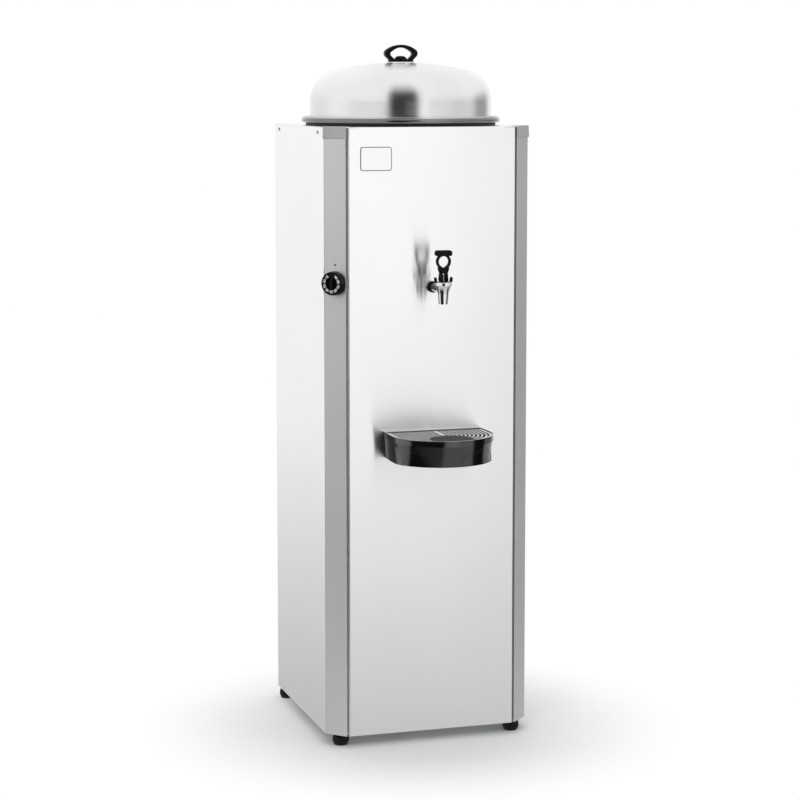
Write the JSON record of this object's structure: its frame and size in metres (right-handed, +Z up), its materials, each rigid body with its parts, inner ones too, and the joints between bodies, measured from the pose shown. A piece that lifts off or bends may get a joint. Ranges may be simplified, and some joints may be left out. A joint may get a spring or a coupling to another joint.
{
  "type": "hot water dispenser",
  "caption": "Free-standing hot water dispenser: tall square steel cabinet, lift-off domed lid with a loop handle, self-closing lever tap, thermostat knob and drip tray.",
  "frame": {"origin": "on the floor under the middle of the whole unit: x = 0 is the cabinet's middle plane and y = 0 lies midway between the drip tray's front and the cable gland's end", "axes": "+Z up, -Y the front with the tap, +X to the right seen from the front"},
  "size_m": [0.4094, 0.565, 1.316],
  "materials": {
    "brushed_steel": "horizontally brushed stainless steel sheet",
    "post_steel": "satin grey stainless section",
    "cap_plastic": "grey satin cap",
    "galvanised_steel": "zinc coated sheet",
    "tank_steel": "drawn stainless steel",
    "dome_steel": "spun satin stainless steel",
    "element_steel": "heating element sheath",
    "brass": "machined brass",
    "copper": "drawn copper",
    "chrome": "polished chrome plate",
    "screw_steel": "bright zinc plated steel",
    "spring_steel": "drawn stainless wire",
    "gasket_rubber": "black silicone rubber",
    "seat_silicone": "translucent silicone",
    "jacket_felt": "needled glass felt",
    "black_plastic": "black moulded nylon",
    "gloss_black_plastic": "gloss black moulded plastic",
    "foot_plastic": "black moulded foot",
    "white_plastic": "white nylon"
  },
  "bodies": {
    "cabinet": {"front_panel": "brushed_steel", "left_side_panel": "brushed_steel", "right_side_panel": "brushed_steel", "rear_panel": "brushed_steel", "left_corner_post": "post_steel", "right_corner_post": "post_steel", "left_corner_cap": "cap_plastic", "right_corner_cap": "cap_plastic", "top_plate": "brushed_steel", "base_pan": "galvanised_steel", "front_tank_rail": "galvanised_steel", "rear_tank_rail": "galvanised_steel", "tank_shell": "tank_steel", "tank_socket": "tank_steel", "rim_gasket": "gasket_rubber", "insulation_jacket": "jacket_felt", "heating_element": "element_steel", "element_bushings": "brass", "element_nuts": "brass", "safety_cutout": "black_plastic", "thermostat_body": "black_plastic", "thermostat_sensor": "copper", "terminal_block": "white_plastic", "cable_gland": "black_plastic", "gland_lock_nut": "black_plastic", "tap_body": "chrome", "tap_bonnet": "black_plastic", "tap_washer": "chrome", "tap_collar": "black_plastic", "tap_lock_nut": "screw_steel", "tray_bracket": "screw_steel", "tray_screws": "screw_steel", "foot_nuts": "screw_steel", "side_screws": "screw_steel", "rear_screws": "screw_steel"},
    "lid": {"lid_dome": "dome_steel", "lid_handle": "gloss_black_plastic", "lid_screw": "screw_steel"},
    "valve_stem": {"tap_stem": "screw_steel", "tap_seat_cup": "seat_silicone", "tap_spring": "spring_steel", "lever_pin": "screw_steel"},
    "tap_lever": {"tap_lever": "black_plastic"},
    "knob": {"knob_body": "black_plastic", "knob_spindle": "screw_steel"},
    "drip_tray": {"drip_tray": "gloss_black_plastic"},
    "drip_grid": {"drip_grid": "gloss_black_plastic"},
    "front_left_stud": {"front_left_stud": "screw_steel"},
    "front_left_foot": {"front_left_foot": "foot_plastic"},
    "front_right_stud": {"front_right_stud": "screw_steel"},
    "front_right_foot": {"front_right_foot": "foot_plastic"},
    "rear_left_stud": {"rear_left_stud": "screw_steel"},
    "rear_left_foot": {"rear_left_foot": "foot_plastic"},
    "rear_right_stud": {"rear_right_stud": "screw_steel"},
    "rear_right_foot": {"rear_right_foot": "foot_plastic"}
  },
  "joints": [
    {"name": "lid_lift", "type": "slide", "parent": "cabinet", "child": "lid", "axis": [0, 0, 1], "range_m": [0, 0.15]},
    {"name": "stem_lift", "type": "slide", "parent": "cabinet", "child": "valve_stem", "axis": [0, 0, 1], "range_m": [0, 0.0022], "deforming": ["tap_spring"]},
    {"name": "lever_tilt", "type": "hinge", "parent": "valve_stem", "child": "tap_lever", "pos_m": [0, -0.1965, 0.892], "axis": [1, 0, 0], "range_deg": [0, 35], "stiffness_Nm_per_rad": 0.3, "springref_deg": -8.59},
    {"name": "knob_turn", "type": "hinge", "parent": "cabinet", "child": "knob", "pos_m": [-0.183, -0.1145, 0.877], "axis": [0.7071, 0.7071, 0], "range_deg": [0, 300]},
    {"name": "tray_lift", "type": "slide", "parent": "cabinet", "child": "drip_tray", "axis": [0, 0, 1], "range_m": [0, 0.04]},
    {"name": "grid_lift", "type": "slide", "parent": "drip_tray", "child": "drip_grid", "axis": [0, 0, 1], "range_m": [0, 0.04]},
    {"name": "front_left_stud_slide", "type": "slide", "parent": "cabinet", "child": "front_left_stud", "axis": [0, 0, -1], "range_m": [0, 0.0081]},
    {"name": "front_left_foot_turn", "type": "hinge", "parent": "front_left_stud", "child": "front_left_foot", "pos_m": [-0.1705, -0.0995, 0], "axis": [0, 0, 1], "range_deg": [0, 2304]},
    {"name": "front_right_stud_slide", "type": "slide", "parent": "cabinet", "child": "front_right_stud", "axis": [0, 0, -1], "range_m": [0, 0.0081]},
    {"name": "front_right_foot_turn", "type": "hinge", "parent": "front_right_stud", "child": "front_right_foot", "pos_m": [0.1705, -0.0995, 0], "axis": [0, 0, 1], "range_deg": [0, 2304]},
    {"name": "rear_left_stud_slide", "type": "slide", "parent": "cabinet", "child": "rear_left_stud", "axis": [0, 0, -1], "range_m": [0, 0.0081]},
    {"name": "rear_left_foot_turn", "type": "hinge", "parent": "rear_left_stud", "child": "rear_left_foot", "pos_m": [-0.184, 0.2525, 0], "axis": [0, 0, 1], "range_deg": [0, 2304]},
    {"name": "rear_right_stud_slide", "type": "slide", "parent": "cabinet", "child": "rear_right_stud", "axis": [0, 0, -1], "range_m": [0, 0.0081]},
    {"name": "rear_right_foot_turn", "type": "hinge", "parent": "rear_right_stud", "child": "rear_right_foot", "pos_m": [0.184, 0.2525, 0], "axis": [0, 0, 1], "range_deg": [0, 2304]}
  ],
  "couplings": [
    {"joint": "stem_lift", "follows": "lever_tilt", "m_per_rad": 0.0035},
    {"joint": "front_left_stud_slide", "follows": "front_left_foot_turn", "m_per_rad": 0.00019894},
    {"joint": "front_right_stud_slide", "follows": "front_right_foot_turn", "m_per_rad": 0.00019894},
    {"joint": "rear_left_stud_slide", "follows": "rear_left_foot_turn", "m_per_rad": 0.00019894},
    {"joint": "rear_right_stud_slide", "follows": "rear_right_foot_turn", "m_per_rad": 0.00019894}
  ]
}
